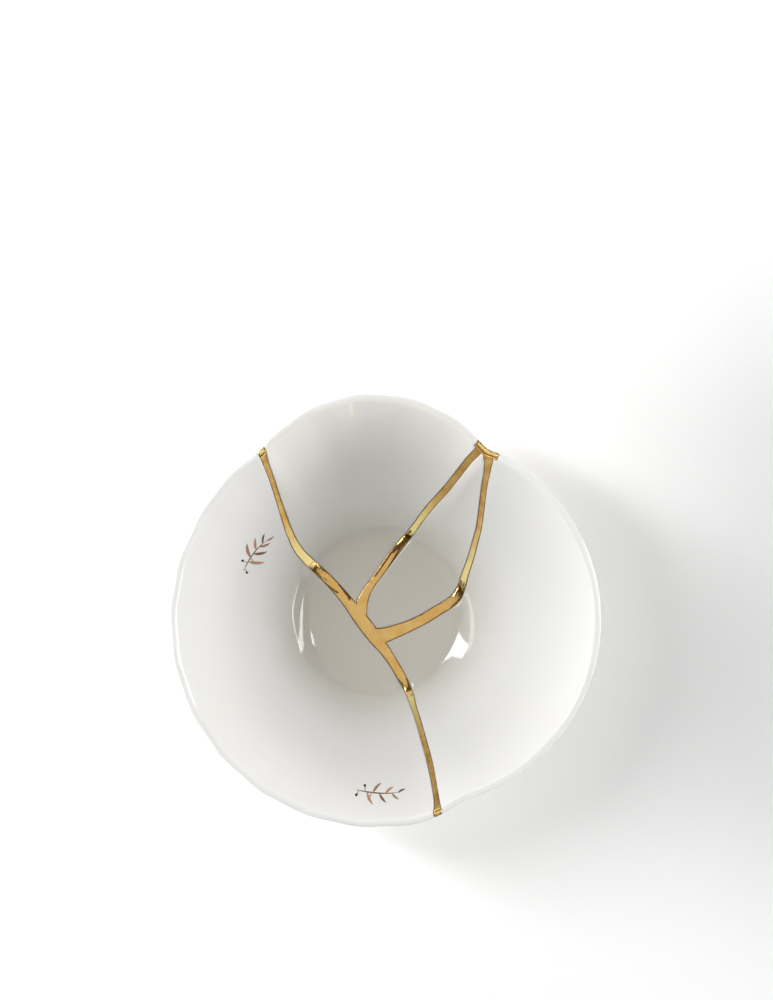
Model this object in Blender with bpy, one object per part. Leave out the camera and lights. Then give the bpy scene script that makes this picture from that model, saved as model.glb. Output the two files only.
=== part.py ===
"""Mended soup plate: four shards of glazed china held together by one branching gold seam.

Metres, +Z up. The origin is under the middle of the plate, on the surface that its foot stands on.
The inside is the driving shape. A place on it is given by its angle, in degrees from +X towards +Y, and
by its share of the way up: 0 in the middle of the floor, 1 at the edge of the floor, 2 at the lip.
"""

import math

import bmesh
import bpy
from mathutils import Vector
from mathutils.geometry import interpolate_bezier

# The bowl of the plate, on its inside
PLATE_HEIGHT = 0.072
FLOOR_RADIUS = 0.040
FLOOR_THICKNESS = 0.0042
FLOOR_CENTRE = Vector((-0.0015, -0.0040))
FLOOR_EDGE_SOFTNESS = 0.0016
WALL_START = 0.62  # slope of the wall where it leaves the floor, as a part of its mean slope
WALL_THICKNESS = 0.0030
LIP_WIDTH = 0.0034
LIP_ROUNDING = 0.0009

# The foot ring underneath
FOOT_HEIGHT = 0.0038
FOOT_WIDTH = 0.0042
FOOT_SETBACK = 0.0022  # from the edge of the floor in to the outside of the foot
FOOT_ROUNDING = 0.0006

# Each shard kept the round of its own broken bowl: middle and radius of its outer lip
RIGHT_LIP_CENTRE = Vector((0.0130, -0.0041))
RIGHT_LIP_RADIUS = 0.0843
BACK_LIP_CENTRE = Vector((-0.0050, 0.0327))
BACK_LIP_RADIUS = 0.0650
LEFT_LIP_CENTRE = Vector((-0.0036, -0.0042))
LEFT_LIP_RADIUS = 0.0933

# The lip passes from one round to the next at an angle, over a stretch to each side of it
RIGHT_TO_BACK = 57.2
RIGHT_TO_BACK_STRETCH = 3.0
BACK_TO_LEFT = 128.0
BACK_TO_LEFT_STRETCH = 4.0
LEFT_TO_RIGHT = 289.0
LEFT_TO_RIGHT_STRETCH = 7.0

# Shallow flutes that wave the lip of two shards and fade towards the floor
FLUTES = 26
LEFT_FLUTE_DEPTH = 0.0005
BACK_FLUTE_DEPTH = 0.0003

# The seam: points along each break as (angle, share, how many times its usual width)
SEAM_WIDTH = 0.0025
LONG_BREAK = [
    (127.0, 2.14, 2.10), (127.8, 2.06, 1.70), (128.1, 2.01, 1.30), (129.2, 1.92, 1.00),
    (130.8, 1.79, 0.92), (132.9, 1.66, 0.92), (136.5, 1.48, 1.08), (140.2, 1.33, 1.28),
    (143.6, 1.18, 1.56), (145.3, 1.01, 1.72), (147.3, 0.81, 1.80), (152.0, 0.61, 1.88),
    (162.2, 0.43, 2.08), (189.2, 0.28, 2.48), (227.2, 0.25, 2.64), (258.5, 0.33, 2.40),
    (274.4, 0.45, 1.96), (283.3, 0.63, 1.68), (287.3, 0.82, 1.68), (288.9, 1.00, 1.40),
    (288.3, 1.13, 1.08), (287.9, 1.29, 1.04), (287.3, 1.47, 1.04), (286.8, 1.64, 1.04),
    (286.0, 1.80, 0.92), (285.3, 1.93, 0.96), (284.9, 1.99, 1.20), (284.6, 2.03, 1.60),
    (284.3, 2.14, 1.92),
]
UPPER_BREAK = [
    (59.6, 2.14, 1.44), (59.7, 2.05, 1.44), (59.9, 1.97, 1.36), (60.8, 1.86, 1.28),
    (62.0, 1.64, 1.28), (63.1, 1.50, 1.32), (65.1, 1.35, 1.32), (67.0, 1.22, 1.28),
    (68.6, 1.10, 1.24), (70.8, 0.99, 1.32), (73.5, 0.88, 1.48), (78.8, 0.72, 1.56),
    (85.9, 0.57, 1.52), (96.1, 0.45, 1.40), (108.3, 0.37, 1.36), (126.5, 0.31, 1.64),
    (148.2, 0.27, 2.00), (169.8, 0.26, 2.40), (191.1, 0.26, 2.48),
]
LOWER_BREAK = [
    (56.5, 2.14, 2.00), (56.4, 2.06, 2.00), (56.1, 2.00, 1.84), (55.1, 1.95, 1.40),
    (53.5, 1.86, 1.08), (50.8, 1.72, 1.00), (46.1, 1.55, 1.00), (41.6, 1.42, 1.00),
    (37.6, 1.31, 1.08), (31.1, 1.17, 1.16), (25.2, 1.07, 1.28), (18.7, 1.00, 1.44),
    (12.2, 0.91, 1.80), (7.3, 0.79, 1.92), (2.7, 0.67, 1.96), (353.0, 0.52, 2.00),
    (335.6, 0.37, 2.08), (309.3, 0.28, 2.40), (275.0, 0.27, 2.88), (251.6, 0.30, 3.24),
]
# Upper and lower break share one gold cap, which runs along the lip between them
LIP_CAP = [(61.0, 2.06, 2.56), (58.6, 2.06, 2.56), (56.2, 2.06, 2.56), (53.9, 2.06, 2.56)]
GOLD_RECESS = 0.0004
SEAM_CLEARANCE = 0.0003
BLADE_OVERSHOOT = 0.004  # how far a cutting blade passes over the lip and under the foot
BLADE_STEP = 0.001  # each blade passes this much further than the one before it

# How finely the solids are faceted
STEPS_ROUND = 104
STEPS_PER_BREAK_POINT = 2

INSIDE_SHARES = (0.5, 0.93, 1.0, 1.07, 1.22, 1.42, 1.62, 1.82, 2.0)
OUTSIDE_SHARES = (1.82, 1.56, 1.3, 1.08)


def eased(value):
    """0 below nothing, 1 above one, and a soft step between."""
    value = min(1.0, max(0.0, value))
    return value * value * (3.0 - 2.0 * value)


def direction(angle):
    return Vector((math.cos(math.radians(angle)), math.sin(math.radians(angle))))


def round_radius(centre, radius, angle):
    """How far the round of one bowl lies from the origin, looking along an angle."""
    along = centre.dot(direction(angle))
    aside = direction(angle).x * centre.y - direction(angle).y * centre.x
    return along + math.sqrt(max(radius * radius - aside * aside, 0.0))


def lip_radius(angle, share=2.0):
    """The outer lip's distance from the origin; the flutes fade below it, towards the floor."""
    angle = angle % 360.0
    past_back = eased((angle - RIGHT_TO_BACK) / (2 * RIGHT_TO_BACK_STRETCH) + 0.5)
    past_left = eased((angle - BACK_TO_LEFT) / (2 * BACK_TO_LEFT_STRETCH) + 0.5)
    past_right = eased((angle - LEFT_TO_RIGHT) / (2 * LEFT_TO_RIGHT_STRETCH) + 0.5)
    back_part = past_back * (1 - past_left)
    left_part = past_left * (1 - past_right)
    right_part = 1 - back_part - left_part
    wave = math.cos(math.radians(angle * FLUTES)) * max(share - 1, 0.0)
    left = round_radius(LEFT_LIP_CENTRE, LEFT_LIP_RADIUS, angle) + LEFT_FLUTE_DEPTH * wave
    back = round_radius(BACK_LIP_CENTRE, BACK_LIP_RADIUS, angle) + BACK_FLUTE_DEPTH * wave
    right = round_radius(RIGHT_LIP_CENTRE, RIGHT_LIP_RADIUS, angle)
    return right * right_part + back * back_part + left * left_part


def inside_plan(angle, share):
    """A place on the inside, seen from above."""
    edge = FLOOR_CENTRE + direction(angle) * FLOOR_RADIUS
    if share <= 1.0:
        return FLOOR_CENTRE.lerp(edge, share)
    lip = direction(angle) * (lip_radius(angle, share) - LIP_WIDTH)
    return edge + (lip - edge) * (share - 1.0)


def inside_height(angle, share):
    """The wall leaves the floor at a shallow slope, which grows evenly towards the lip."""
    floor = FOOT_HEIGHT + FLOOR_THICKNESS
    rise = PLATE_HEIGHT - LIP_ROUNDING - floor
    run = (inside_plan(angle, 2.0) - inside_plan(angle, 1.0)).length
    past_edge = (share - 1.0) * (FLOOR_RADIUS if share < 1.0 else run)
    ramp = (past_edge + math.hypot(past_edge, FLOOR_EDGE_SOFTNESS)) / 2
    wall = max(share - 1.0, 0.0)
    return floor + WALL_START * rise * ramp / run + (1 - WALL_START) * rise * wall * wall


def wall_point(angle, share, depth):
    """A point inside the wall, at a depth below its inner surface."""
    step = 0.01
    here = inside_plan(angle, share)
    ahead = inside_plan(angle, share + step)
    run = (ahead - here).length
    climb = inside_height(angle, share + step) - inside_height(angle, share)
    outward = (ahead - here).normalized()
    length = math.hypot(run, climb)
    place = here + outward * (depth * climb / length)
    return Vector((place.x, place.y, inside_height(angle, share) - depth * run / length))


def section(angle, recess):
    """Points from the floor's middle over the lip to the underside, all set back into the china by recess."""
    floor_middle = Vector((FLOOR_CENTRE.x, FLOOR_CENTRE.y, 0.0))
    way = direction(angle).to_3d()
    points = [wall_point(angle, share, recess) for share in INSIDE_SHARES]
    lip = way * lip_radius(angle)
    top = PLATE_HEIGHT - recess
    low_lip = PLATE_HEIGHT - LIP_ROUNDING
    points.append(lip - way * (LIP_WIDTH - LIP_ROUNDING) + Vector((0, 0, top)))
    points.append(lip - way * LIP_ROUNDING + Vector((0, 0, top)))
    points.append(lip - way * recess + Vector((0, 0, low_lip)))
    points += [wall_point(angle, share, WALL_THICKNESS - recess) for share in OUTSIDE_SHARES]
    foot = FLOOR_RADIUS - FOOT_SETBACK
    underside = FOOT_HEIGHT + recess
    for radius, height in (
        (foot - recess, FOOT_HEIGHT + FOOT_ROUNDING / 2),
        (foot - recess, FOOT_ROUNDING + recess),
        (foot - FOOT_ROUNDING, recess),
        (foot - FOOT_WIDTH + FOOT_ROUNDING, recess),
        (foot - FOOT_WIDTH + recess, underside),
    ):
        points.append(floor_middle + way * radius + Vector((0, 0, height)))
    return points


def bowl_mesh(name, recess):
    """The whole unbroken bowl, or the same bowl with every surface set back."""
    work = bmesh.new()
    rings = []
    for step in range(STEPS_ROUND):
        angle = 360.0 * step / STEPS_ROUND
        rings.append([work.verts.new(point) for point in section(angle, recess)])
    top = work.verts.new((*FLOOR_CENTRE, inside_height(0.0, 0.0) - recess))
    bottom = work.verts.new((*FLOOR_CENTRE, FOOT_HEIGHT + recess))
    for here, after in zip(rings, rings[1:] + rings[:1]):
        work.faces.new((top, here[0], after[0]))
        for low in range(len(here) - 1):
            work.faces.new((here[low], here[low + 1], after[low + 1], after[low]))
        work.faces.new((here[-1], bottom, after[-1]))
    bmesh.ops.recalc_face_normals(work, faces=work.faces)
    mesh = bpy.data.meshes.new(name)
    work.to_mesh(mesh)
    work.free()
    return mesh


def break_line(points, widening):
    """The two sides of a break seen from above, as smooth curves through its points."""
    places = [inside_plan(angle, share) for angle, share, _ in points]
    widths = [SEAM_WIDTH * times + widening for _, _, times in points]
    middle, reach = [], []
    for index in range(len(points) - 1):
        start, end = places[index], places[index + 1]
        before = places[max(index - 1, 0)]
        after = places[min(index + 2, len(points) - 1)]
        leave = start + (end - before) / 6
        arrive = end - (after - start) / 6
        handles = [place.to_3d() for place in (start, leave, arrive, end)]
        curve = interpolate_bezier(*handles, STEPS_PER_BREAK_POINT + 1)
        middle += curve[:-1]
        reach += [
            widths[index] + (widths[index + 1] - widths[index]) * step / STEPS_PER_BREAK_POINT
            for step in range(STEPS_PER_BREAK_POINT)
        ]
    middle.append(places[-1].to_3d())
    reach.append(widths[-1])
    left, right = [], []
    for index, (place, width) in enumerate(zip(middle, reach)):
        ahead = middle[min(index + 1, len(middle) - 1)] - middle[max(index - 1, 0)]
        aside = Vector((-ahead.y, ahead.x, 0.0)).normalized() * (width / 2)
        left.append(place + aside)
        right.append(place - aside)
    return left, right


def break_solid(name, points, widening, extra_height):
    """A standing blade that follows one break and passes through the whole wall."""
    left, right = break_line(points, widening)
    low = Vector((0, 0, -extra_height))
    high = Vector((0, 0, PLATE_HEIGHT + extra_height))
    work = bmesh.new()
    columns = [
        [work.verts.new(point) for point in (a + low, b + low, b + high, a + high)]
        for a, b in zip(left, right)
    ]
    for here, after in zip(columns, columns[1:]):
        for side in range(4):
            next_side = (side + 1) % 4
            work.faces.new((here[side], here[next_side], after[next_side], after[side]))
    work.faces.new(columns[0][::-1])
    work.faces.new(columns[-1])
    bmesh.ops.recalc_face_normals(work, faces=work.faces)
    mesh = bpy.data.meshes.new(name)
    work.to_mesh(mesh)
    work.free()
    cutter = bpy.data.objects.new(name, mesh)
    bpy.context.scene.collection.objects.link(cutter)
    cutter.hide_render = True
    cutter.display_type = "WIRE"
    return cutter


def all_breaks(name, widening):
    """One blade for each break; their heights differ so that no two faces lie in one plane."""
    breaks = (LONG_BREAK, UPPER_BREAK, LOWER_BREAK, LIP_CAP)
    return [
        break_solid(f"{name}_{number}", points, widening, BLADE_OVERSHOOT + BLADE_STEP * number)
        for number, points in enumerate(breaks)
    ]


def with_boolean(obj, others, operation):
    for other in others:
        step = obj.modifiers.new(other.name, "BOOLEAN")
        step.operation = operation
        step.solver = "EXACT"
        step.object = other


def settled_mesh(obj):
    """The object's mesh with its modifiers applied."""
    bpy.context.view_layer.update()
    graph = bpy.context.evaluated_depsgraph_get()
    return bpy.data.meshes.new_from_object(obj.evaluated_get(graph))


def plain_material(name, colour, roughness, metallic):
    material = bpy.data.materials.new(name)
    material.use_nodes = True
    shader = material.node_tree.nodes["Principled BSDF"]
    shader.inputs["Base Color"].default_value = (*colour, 1.0)
    shader.inputs["Roughness"].default_value = roughness
    shader.inputs["Metallic"].default_value = metallic
    return material


def finished(name, mesh, material):
    """A named sub-part, smooth on its rounds and sharp at its broken edges."""
    mesh.name = name
    mesh.materials.clear()
    mesh.materials.append(material)
    mesh.shade_smooth()
    mesh.set_sharp_from_angle(angle=math.radians(35))
    obj = bpy.data.objects.new(name, mesh)
    bpy.context.scene.collection.objects.link(obj)
    return obj


def island_meshes(mesh):
    """Splits a mesh into its loose pieces."""
    whole = bmesh.new()
    whole.from_mesh(mesh)
    unseen = set(whole.verts)
    pieces = []
    while unseen:
        piece = {unseen.pop()}
        edge = list(piece)
        while edge:
            for link in edge.pop().link_edges:
                for vert in link.verts:
                    if vert in unseen:
                        unseen.discard(vert)
                        piece.add(vert)
                        edge.append(vert)
        pieces.append({vert.index for vert in piece})
    whole.free()
    for number, kept in enumerate(sorted(pieces, key=min)):
        work = bmesh.new()
        work.from_mesh(mesh)
        work.verts.ensure_lookup_table()
        bmesh.ops.delete(work, geom=[vert for vert in work.verts if vert.index not in kept], context="VERTS")
        part = bpy.data.meshes.new(f"island_{number}")
        work.to_mesh(part)
        work.free()
        yield part


def nearest_part(meshes, angle, share):
    """The loose piece that has a corner nearest to a place on the inside."""
    place = wall_point(angle, share, 0.0)
    return min(meshes, key=lambda mesh: min((vert.co - place).length for vert in mesh.vertices))


def clear_scene():
    for obj in list(bpy.data.objects):
        bpy.data.objects.remove(obj)


def make_shards():
    china = plain_material("glazed_china", (0.86, 0.85, 0.82), 0.12, 0.0)
    bowl = bpy.data.objects.new("whole_bowl", bowl_mesh("whole_bowl", 0.0))
    bpy.context.scene.collection.objects.link(bowl)
    bowl.hide_render = True
    with_boolean(bowl, all_breaks("china_cut", 2 * SEAM_CLEARANCE), "DIFFERENCE")
    pieces = list(island_meshes(settled_mesh(bowl)))
    for name, angle, share in (
        ("left_fragment", 205.0, 1.6),
        ("back_fragment", 95.0, 1.6),
        ("right_fragment", 340.0, 1.6),
        ("wedge_fragment", 56.0, 1.3),
    ):
        finished(name, nearest_part(pieces, angle, share), china)
    bpy.data.objects.remove(bowl)


def make_seam():
    gold = plain_material("mending_gold", (0.80, 0.55, 0.22), 0.25, 1.0)
    first, *others = all_breaks("seam_blade", 0.0)
    with_boolean(first, others, "UNION")
    bowl = bpy.data.objects.new("set_back_bowl", bowl_mesh("set_back_bowl", GOLD_RECESS))
    bpy.context.scene.collection.objects.link(bowl)
    with_boolean(bowl, [first], "INTERSECT")
    finished("gold_seam", settled_mesh(bowl), gold)
    bpy.data.objects.remove(bowl)


clear_scene()
make_shards()
make_seam()
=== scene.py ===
"""Mended soup plate, dressed: glazed china shards, the gold that joins them, and a pale studio table."""

import math

import bmesh
import bpy
import numpy as np
from mathutils import Matrix, Vector
from mathutils.geometry import delaunay_2d_cdt, interpolate_bezier


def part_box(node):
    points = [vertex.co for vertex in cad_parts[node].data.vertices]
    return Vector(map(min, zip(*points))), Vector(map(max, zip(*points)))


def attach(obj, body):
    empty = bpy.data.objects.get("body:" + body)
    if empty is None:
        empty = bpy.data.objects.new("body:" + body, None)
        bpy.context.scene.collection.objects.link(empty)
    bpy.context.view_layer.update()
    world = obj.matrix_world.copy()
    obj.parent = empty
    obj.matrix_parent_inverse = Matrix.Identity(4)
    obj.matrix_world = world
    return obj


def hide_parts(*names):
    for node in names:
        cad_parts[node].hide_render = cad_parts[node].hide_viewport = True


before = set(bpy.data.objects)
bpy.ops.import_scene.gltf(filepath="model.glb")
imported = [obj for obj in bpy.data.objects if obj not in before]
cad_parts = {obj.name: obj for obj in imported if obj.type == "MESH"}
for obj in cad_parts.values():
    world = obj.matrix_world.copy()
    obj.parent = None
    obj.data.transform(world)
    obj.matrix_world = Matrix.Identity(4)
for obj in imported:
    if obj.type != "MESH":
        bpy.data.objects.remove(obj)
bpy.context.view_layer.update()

# Camera
# A long lens looks straight down on the plate, which lies low in a tall picture.
LENS = 85.0
SENSOR = 36.0
PICTURE_HEIGHT = 0.450  # what the picture's long side takes in at the height of the lip
PLATE_HEIGHT = 0.072
PICTURE_MIDDLE = (0.00064, 0.04986)
camera = bpy.data.objects.new("camera", bpy.data.cameras.new("camera"))
camera.data.lens = LENS
camera.data.sensor_fit = "VERTICAL"
camera.data.sensor_height = SENSOR
camera.location = (*PICTURE_MIDDLE, PLATE_HEIGHT + PICTURE_HEIGHT * LENS / SENSOR)
bpy.context.scene.collection.objects.link(camera)
bpy.context.scene.camera = camera

# Four china shards
# Shards of three unlike white bowls, moulded, glazed and fired, with lips of their own. They are fitted
# edge to edge over one foot ring, with an open joint between them, and all their broken edges are eased.
FLOOR_RADIUS = 0.040
FLOOR_HEIGHT = 0.0080  # level with which the wall starts; the middle of the floor lies a little lower
FLOOR_CENTRE = np.array([-0.0015, -0.0040])
FLOOR_EDGE_SOFTNESS = 0.0016
ROUNDER_PLACES = [(-35.0, 60.0, 0.0032), (192.0, 60.0, 0.0016)]  # angle, spread, softness added
FLOOR_DISH = 0.0016  # how far the floor rises from its middle to its edge
FLOOR_DISH_POWER = 3.0
FLOOR_DISH_FADE = 0.005  # over which the floor's last slope gives way to the wall's own
WALL_START = 0.62
WALL_THICKNESS = 0.0030
LIP_WIDTH = 0.0034
LIP_ROUNDING = 0.0009
FOOT_HEIGHT = 0.0038
RIGHT_LIP = (np.array([0.0130, -0.0041]), 0.0843)
BACK_LIP = (np.array([-0.0050, 0.0327]), 0.0650)
LEFT_LIP = (np.array([-0.0036, -0.0042]), 0.0933)
RIGHT_TO_BACK = (57.2, 3.0)
BACK_TO_LEFT = (128.0, 4.0)
LEFT_TO_RIGHT = (289.0, 7.0)
# Angle, spread and the share at which each crease ends
CREASES = [(104.0, 13.0, 1.75), (236.0, 12.0, 1.65), (63.0, 9.0, 1.5), (196.0, 16.0, 1.6)]
CREASE_HEIGHT = 0.00022
FLUTES = 26
LEFT_FLUTE_DEPTH = 0.00025
BACK_FLUTE_DEPTH = 0.0002
SEAM_WIDTH = 0.0025
# Points along each break: the angle, the share of the way out, and the seam's width in SEAM_WIDTHs
LONG_BREAK = [
    (127.0, 2.14, 2.10), (127.8, 2.06, 1.70), (128.1, 2.01, 1.30), (129.2, 1.92, 1.00),
    (130.8, 1.79, 0.92), (132.9, 1.66, 0.92), (136.5, 1.48, 1.08), (140.2, 1.33, 1.28),
    (143.6, 1.18, 1.56), (145.3, 1.01, 1.72), (147.3, 0.81, 1.80), (152.0, 0.61, 1.88),
    (162.2, 0.43, 2.08), (189.2, 0.28, 2.48), (227.2, 0.25, 2.64), (258.5, 0.33, 2.40),
    (274.4, 0.45, 1.96), (283.3, 0.63, 1.68), (287.3, 0.82, 1.68), (288.9, 1.00, 1.40),
    (288.3, 1.13, 1.08), (287.9, 1.29, 1.04), (287.3, 1.47, 1.04), (286.8, 1.64, 1.04),
    (286.0, 1.80, 0.92), (285.3, 1.93, 0.96), (284.9, 1.99, 1.20), (284.6, 2.03, 1.60),
    (284.3, 2.14, 1.92),
]
UPPER_BREAK = [
    (59.6, 2.14, 1.44), (59.7, 2.05, 1.44), (59.9, 1.97, 1.36), (60.8, 1.86, 1.28),
    (62.0, 1.64, 1.28), (63.1, 1.50, 1.32), (65.1, 1.35, 1.32), (67.0, 1.22, 1.28),
    (68.6, 1.10, 1.24), (70.8, 0.99, 1.32), (73.5, 0.88, 1.48), (78.8, 0.72, 1.56),
    (85.9, 0.57, 1.52), (96.1, 0.45, 1.40), (108.3, 0.37, 1.36), (126.5, 0.31, 1.64),
    (148.2, 0.27, 2.00), (169.8, 0.26, 2.40), (191.1, 0.26, 2.40), (207.0, 0.26, 1.50),
]
LOWER_BREAK = [
    (56.5, 2.14, 2.00), (56.4, 2.06, 2.00), (56.1, 2.00, 1.84), (55.1, 1.95, 1.40),
    (53.5, 1.86, 1.08), (50.8, 1.72, 1.00), (46.1, 1.55, 1.00), (41.6, 1.42, 1.00),
    (37.6, 1.31, 1.08), (31.1, 1.17, 1.16), (25.2, 1.07, 1.28), (18.7, 1.00, 1.44),
    (12.2, 0.91, 1.80), (7.3, 0.79, 1.92), (2.7, 0.67, 1.96), (353.0, 0.52, 2.00),
    (335.6, 0.37, 2.08), (309.3, 0.28, 2.40), (275.0, 0.27, 2.88), (251.6, 0.30, 3.24),
]
LIP_CAP = [(61.0, 2.06, 2.56), (58.6, 2.06, 2.56), (56.2, 2.06, 2.56), (53.9, 2.06, 2.56)]
FOOT_FROM, FOOT_TO = 0.826, 0.958  # shares of the floor's radius between which the foot ring lies
JOINT_GAP = 0.00006  # between china and gold, all in all
EDGE_ROUNDING = 0.00035
LIP_STEPS = 720
SKIN_GRID = 0.0015
BREAK_STEP = 0.0006
CHINA_RINGS = (0.00004, 0.00011, 0.00020, 0.00034, 0.00060, 0.00095)
GOLD_RINGS = (0.00012, 0.00030, 0.00055, 0.00090, 0.00140, 0.00200, 0.00270, 0.00340)
LIP_RINGS = (-0.0016, -0.0008, -0.0003, 0.0, 0.0003, 0.0006, 0.0010, 0.0014)
FOOT_SHARES = (
    0.828, 0.840, 0.843, 0.847, 0.851, 0.854, 0.862, 0.890, 0.923, 0.931, 0.934, 0.938,
    0.942, 0.945, 0.955, 0.968, 0.980, 0.995,
)


def eased(value):
    """0 to 1 with a soft start and a soft end."""
    value = np.clip(value, 0.0, 1.0)
    return value * value * (3.0 - 2.0 * value)


def direction(angle):
    """The level way that an angle in degrees points."""
    turn = np.radians(angle)
    return np.stack([np.cos(turn), np.sin(turn)], axis=-1)


def round_radius(lip, angle):
    """How far the round of one bowl lies from the origin, looking along an angle."""
    centre, radius = lip
    way = direction(angle)
    aside = way[..., 0] * centre[1] - way[..., 1] * centre[0]
    return way @ centre + np.sqrt(np.maximum(radius * radius - aside * aside, 0.0))


def lip_radius(angle, share):
    """The outer lip's distance from the origin; its waves fade below it, towards the floor."""
    angle = np.mod(angle, 360.0)
    past_back, past_left, past_right = (
        eased((angle - middle) / (2 * stretch) + 0.5)
        for middle, stretch in (RIGHT_TO_BACK, BACK_TO_LEFT, LEFT_TO_RIGHT)
    )
    back_part = past_back * (1 - past_left)
    left_part = past_left * (1 - past_right)
    wave = np.cos(np.radians(angle * FLUTES)) * np.maximum(share - 1, 0.0)
    left = round_radius(LEFT_LIP, angle) + LEFT_FLUTE_DEPTH * wave
    back = round_radius(BACK_LIP, angle) + BACK_FLUTE_DEPTH * wave
    right = round_radius(RIGHT_LIP, angle)
    return right * (1 - back_part - left_part) + back * back_part + left * left_part


def inside_plan(angle, share):
    """Places on the inside, seen from above: share 1 is the edge of the floor, 2 the lip's inner edge."""
    angle, share = np.broadcast_arrays(np.asarray(angle, float), np.asarray(share, float))
    edge = FLOOR_CENTRE + direction(angle) * FLOOR_RADIUS
    lip = direction(angle) * (lip_radius(angle, share) - LIP_WIDTH)[..., None]
    on_floor = FLOOR_CENTRE + (edge - FLOOR_CENTRE) * share[..., None]
    on_wall = edge + (lip - edge) * (share - 1.0)[..., None]
    return np.where(share[..., None] <= 1.0, on_floor, on_wall)


def wall_run(angle):
    """How far the wall reaches from the floor's edge to the lip, seen from above."""
    return np.linalg.norm(inside_plan(angle, 2.0) - inside_plan(angle, 1.0), axis=-1)


def floor_softness(angle):
    """How softly the floor turns up into the wall, which differs round the plate."""
    softness = FLOOR_EDGE_SOFTNESS
    for place, spread, added in ROUNDER_PLACES:
        away = np.abs(np.mod(angle - place + 180.0, 360.0) - 180.0) / spread
        softness = softness + added * eased(1.0 - away)
    return softness


def crease_height(angle, share):
    """Faint moulded facets: low ridges that run up the wall and stand a little proud of it."""
    height = np.zeros_like(share)
    for place, spread, top in CREASES:
        away = np.abs(np.mod(angle - place + 180.0, 360.0) - 180.0) / spread
        along = eased((share - 0.98) / 0.14) * (1.0 - eased((share - top) / 0.3))
        height += CREASE_HEIGHT * np.maximum(1.0 - away, 0.0) * along
    return height


def place_on_inside(plan):
    """The angle and share of places that are given as seen from above."""
    from_middle = plan - FLOOR_CENTRE
    distance = np.hypot(from_middle[:, 0], from_middle[:, 1])
    angle = np.degrees(np.arctan2(from_middle[:, 1], from_middle[:, 0]))
    share = distance / FLOOR_RADIUS
    walls = share > 1.0
    # On the wall a first guess is bettered step by step
    usual_run = 0.052
    turn, reach, goal = angle[walls], 1.0 + (distance[walls] - FLOOR_RADIUS) / usual_run, plan[walls]
    nudge = 0.0005
    for _ in range(30):
        here = inside_plan(turn, reach)
        by_turn = (inside_plan(turn + nudge, reach) - here) / nudge
        by_reach = (inside_plan(turn, reach + nudge) - here) / nudge
        miss = goal - here
        scale = by_turn[:, 0] * by_reach[:, 1] - by_turn[:, 1] * by_reach[:, 0]
        turn = turn + 0.8 * (miss[:, 0] * by_reach[:, 1] - miss[:, 1] * by_reach[:, 0]) / scale
        reach = reach + 0.8 * (by_turn[:, 0] * miss[:, 1] - by_turn[:, 1] * miss[:, 0]) / scale
    angle[walls], share[walls] = turn, reach
    return np.mod(angle, 360.0), share


def break_line(points):
    """The middle of a break seen from above, evenly stepped, with its half width and its side's direction."""
    places = [Vector((*inside_plan(angle, share), 0.0)) for angle, share, _ in points]
    halves = [SEAM_WIDTH * times / 2 for _, _, times in points]
    middle, half = [], []
    for index in range(len(points) - 1):
        start, end = places[index], places[index + 1]
        before, after = places[max(index - 1, 0)], places[min(index + 2, len(points) - 1)]
        steps = max(2, math.ceil((end - start).length / BREAK_STEP))
        leave, arrive = start + (end - before) / 6, end - (after - start) / 6
        middle += interpolate_bezier(start, leave, arrive, end, steps + 1)[:-1]
        part = np.arange(steps) / steps
        half += list(halves[index] + (halves[index + 1] - halves[index]) * eased(part))
    middle = np.array([point.to_2d() for point in middle + [places[-1]]])
    half = np.array(half + [halves[-1]])
    half = np.convolve(np.pad(half, 3, mode="edge"), np.ones(7) / 7, mode="valid")
    ahead = np.gradient(middle, axis=0)
    ahead /= np.linalg.norm(ahead, axis=1, keepdims=True)
    return middle, half, np.stack([-ahead[:, 1], ahead[:, 0]], axis=1)


def thinned(points, spacing):
    """One point for each small square, so that rings that cross don't crowd each other."""
    _, kept = np.unique(np.round(points / spacing).astype(int), axis=0, return_index=True)
    return points[np.sort(kept)]


def distance_to_lines(points, starts, ends):
    """How far each point is from the nearest of many short straight lines."""
    found = []
    along = ends - starts
    length = (along**2).sum(1)
    for group in np.array_split(points, max(1, len(points) // 1500)):
        from_start = group[:, None, :] - starts[None]
        part = np.clip((from_start * along).sum(2) / length, 0.0, 1.0)
        gap = from_start - part[..., None] * along
        found.append(np.sqrt((gap**2).sum(2).min(1)))
    return np.concatenate(found)


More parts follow.
